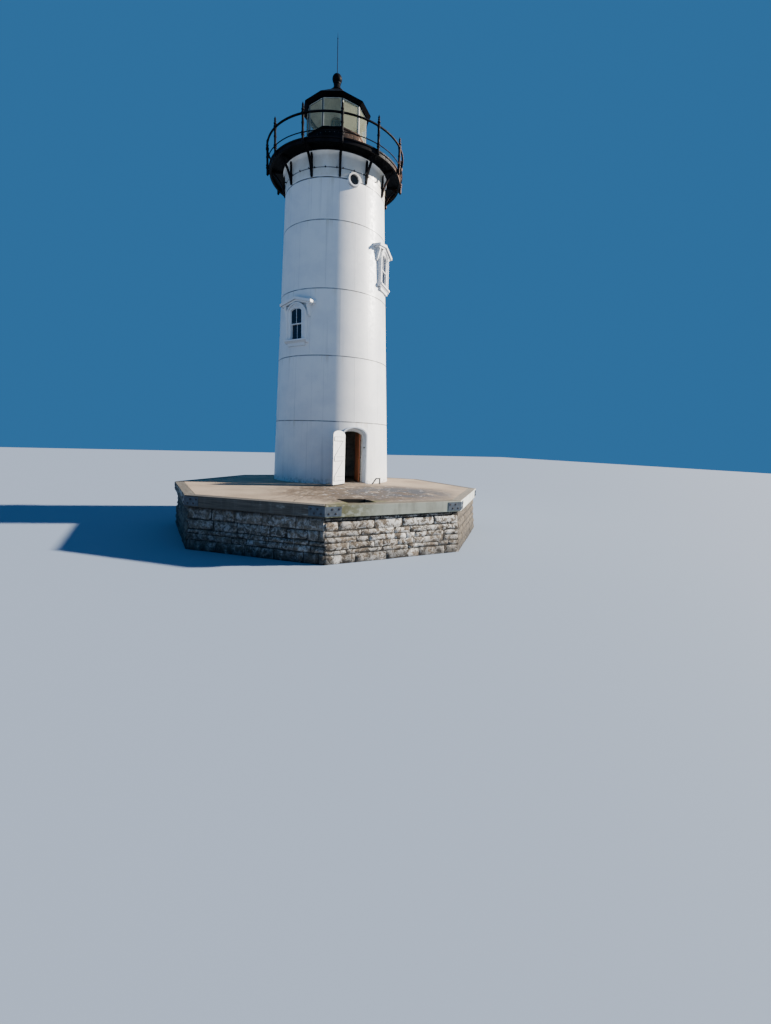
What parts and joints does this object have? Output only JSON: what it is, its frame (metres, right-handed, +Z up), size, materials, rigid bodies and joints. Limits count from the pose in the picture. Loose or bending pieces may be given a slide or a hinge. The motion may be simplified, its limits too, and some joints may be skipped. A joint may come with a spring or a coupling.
{
  "type": "harbour lighthouse",
  "caption": "Tapering white lighthouse of bolted iron plates with a black gallery and lantern, on an octagonal masonry platform edged in timber.",
  "frame": {"origin": "bottom centre of the octagonal platform", "axes": "+Z up, the doorway faces -Y"},
  "size_m": [9.8576, 9.8576, 17.416],
  "materials": {
    "rubble_masonry": "rough, with remains of whitewash",
    "concrete": "worn concrete",
    "weathered_timber": "weathered timber with remains of pale paint",
    "steel_plate": "dull galvanised plate",
    "white_iron": "matt white paint",
    "lining_brick": "limewashed brick",
    "reveal_iron": "satin grey-blue paint",
    "sill_iron": "worn paint",
    "white_boards": "white paint on boards",
    "varnished_boards": "red-brown varnish",
    "hinge_iron": "dull iron",
    "white_joinery": "white paint",
    "window_glass": "clear glass in front of a dark room",
    "gallery_iron": "black paint with rust showing",
    "lantern_floor_iron": "dull black paint",
    "lantern_iron": "black paint",
    "mullion_iron": "grey-green paint",
    "lantern_glass": "clear",
    "roof_copper": "black paint on copper sheet",
    "rod_iron": "weathered",
    "pedestal_iron": "dark green paint",
    "lens_glass": "prismatic rings"
  },
  "bodies": {
    "lighthouse": {"foundation_wall": "rubble_masonry", "deck_slab": "concrete", "fascia_beams": "weathered_timber", "corner_plates": "steel_plate", "course_1": "white_iron", "course_2": "white_iron", "course_3": "white_iron", "course_4": "white_iron", "course_5": "white_iron", "doorway_head_plate": "white_iron", "base_lining": "lining_brick", "doorway_lintel": "lining_brick", "upper_lining": "lining_brick", "gallery_belt": "white_iron", "door_jambs": "reveal_iron", "door_arch": "reveal_iron", "door_sill": "sill_iron", "hinge_pins": "hinge_iron", "door_keeper": "hinge_iron", "boot_scraper": "hinge_iron", "window_frames": "white_iron", "window_sills": "white_iron", "window_hoods": "white_iron", "window_sashes": "white_joinery", "window_glass": "window_glass", "porthole_rings": "white_iron", "porthole_glass": "window_glass", "gallery_deck": "gallery_iron", "gallery_brackets": "gallery_iron", "railing_posts": "gallery_iron", "gallery_rails": "gallery_iron", "lantern_floor": "lantern_floor_iron", "lantern_wall": "lantern_iron", "lantern_mullions": "mullion_iron", "lantern_glass": "lantern_glass", "lantern_eave": "lantern_iron", "lantern_roof": "roof_copper", "roof_ventilator": "lantern_iron", "lightning_rod": "rod_iron", "lens_pedestal": "pedestal_iron", "lens": "lens_glass"},
    "outer_door_leaf": {"outer_door": "white_boards", "outer_door_straps": "hinge_iron"},
    "inner_door_leaf": {"inner_door": "varnished_boards", "inner_door_straps": "hinge_iron"}
  },
  "joints": [
    {"name": "outer_door_swing", "type": "hinge", "parent": "lighthouse", "child": "outer_door_leaf", "pos_m": [0.498, 0.06, 2.44], "axis": [0, 0, 1], "range_deg": [-26, 139]},
    {"name": "inner_door_swing", "type": "hinge", "parent": "lighthouse", "child": "inner_door_leaf", "pos_m": [1.422, 0.56, 2.44], "axis": [0, 0, 1], "range_deg": [-30, 104]}
  ]
}
